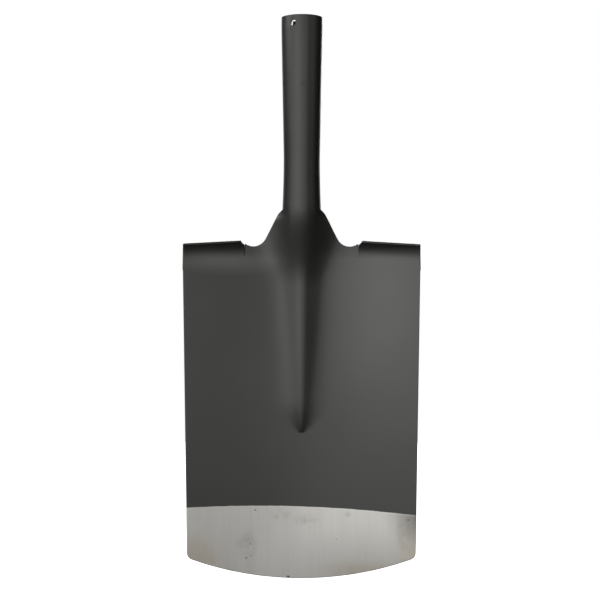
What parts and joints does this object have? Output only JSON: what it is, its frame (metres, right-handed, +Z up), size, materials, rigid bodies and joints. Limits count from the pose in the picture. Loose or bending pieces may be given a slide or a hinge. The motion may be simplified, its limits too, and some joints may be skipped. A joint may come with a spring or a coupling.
{
  "type": "shovel head",
  "caption": "Steel shovel head: dished square-mouth blade with a frog rib, forward-turned foot treads and a tapered tube socket for a wooden handle.",
  "frame": {"origin": "centre of the socket's mouth, on its rim plane", "axes": "+Z up along the socket, out of its mouth along the handle; -Y towards the dished front of the blade; +X to the right seen from the front"},
  "size_m": [0.2286, 0.0719, 0.5347],
  "materials": {
    "blade_steel": "satin black enamel, bare ground steel along the cutting edge",
    "enamel": "satin black enamel",
    "weld": "weld bead under satin black enamel"
  },
  "bodies": {
    "root": {"blade": "blade_steel", "socket": "enamel", "back_plate": "enamel", "left_tread": "enamel", "right_tread": "enamel", "socket_seam_weld": "weld", "neck_weld": "weld", "back_plate_weld_left": "weld", "back_plate_weld_right": "weld", "left_tread_weld": "weld", "right_tread_weld": "weld"}
  },
  "joints": []
}
